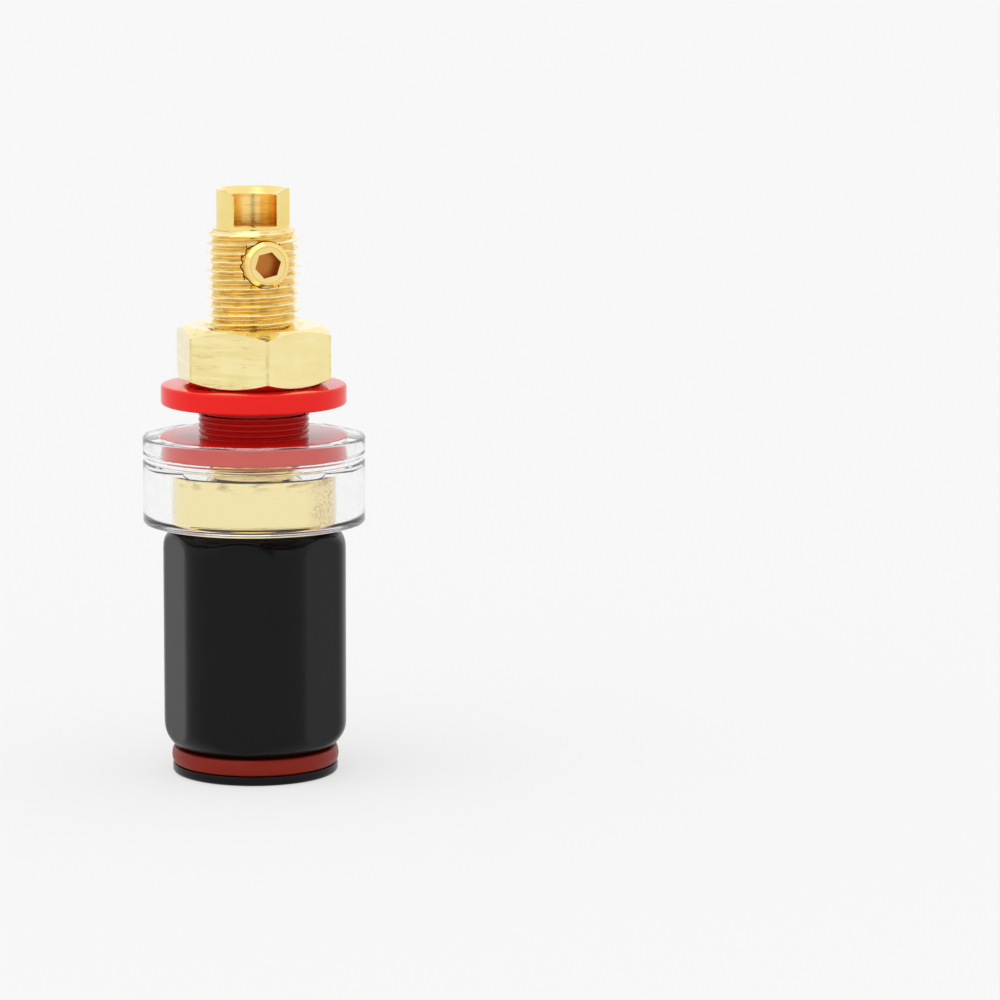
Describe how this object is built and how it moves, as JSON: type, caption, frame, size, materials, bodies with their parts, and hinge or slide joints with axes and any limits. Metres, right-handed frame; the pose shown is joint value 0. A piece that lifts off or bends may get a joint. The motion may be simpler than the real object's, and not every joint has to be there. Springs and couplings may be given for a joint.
{
  "type": "speaker binding post",
  "caption": "Panel binding post with a rounded hexagonal knob, a plug socket, a clear shroud, a hexagon nut and a solder cup.",
  "frame": {"origin": "centre of the knob's end cap, on the surface that the post stands on", "axes": "+Z along the post's axis from the knob to the solder cup; the grub screw and the open side of the cup face -Y, turned 20 degrees towards +X"},
  "size_m": [0.0188, 0.0188, 0.0499],
  "materials": {
    "black_plastic": "satin black moulding",
    "red_silicone": "matt brick-red silicone",
    "gold_brass": "bright gold plating over turned brass",
    "clear_plastic": "clear polished plastic",
    "red_plastic": "glossy red plastic"
  },
  "bodies": {
    "knob": {"knob_shell": "black_plastic", "knob_bush": "gold_brass", "colour_ring": "red_silicone"},
    "shroud": {"clear_shroud": "clear_plastic", "front_flange": "red_plastic"},
    "post": {"post": "gold_brass"},
    "washer": {"rear_washer": "red_plastic"},
    "nut": {"panel_nut": "gold_brass"},
    "grub": {"grub_screw": "gold_brass"}
  },
  "joints": [
    {"name": "shroud_lift", "type": "slide", "parent": "knob", "child": "shroud", "axis": [0, 0, 1], "range_m": [0, 0.005]},
    {"name": "knob_thread", "type": "hinge", "parent": "shroud", "child": "post", "pos_m": [0, 0, 0], "axis": [0, 0, 1], "range_deg": [0, 1800]},
    {"name": "washer_lift", "type": "slide", "parent": "post", "child": "washer", "axis": [0, 0, 1], "range_m": [0, 0.003]},
    {"name": "nut_thread", "type": "hinge", "parent": "washer", "child": "nut", "pos_m": [0, 0, 0], "axis": [0, 0, 1], "range_deg": [0, 1440]},
    {"name": "grub_travel", "type": "slide", "parent": "post", "child": "grub", "axis": [0.342, -0.9397, 0], "range_m": [-0.0015, 0.0005]}
  ],
  "couplings": [
    {"joint": "knob_thread", "follows": "shroud_lift", "rad_per_m": 6283.2},
    {"joint": "nut_thread", "follows": "washer_lift", "rad_per_m": 8377.6}
  ]
}
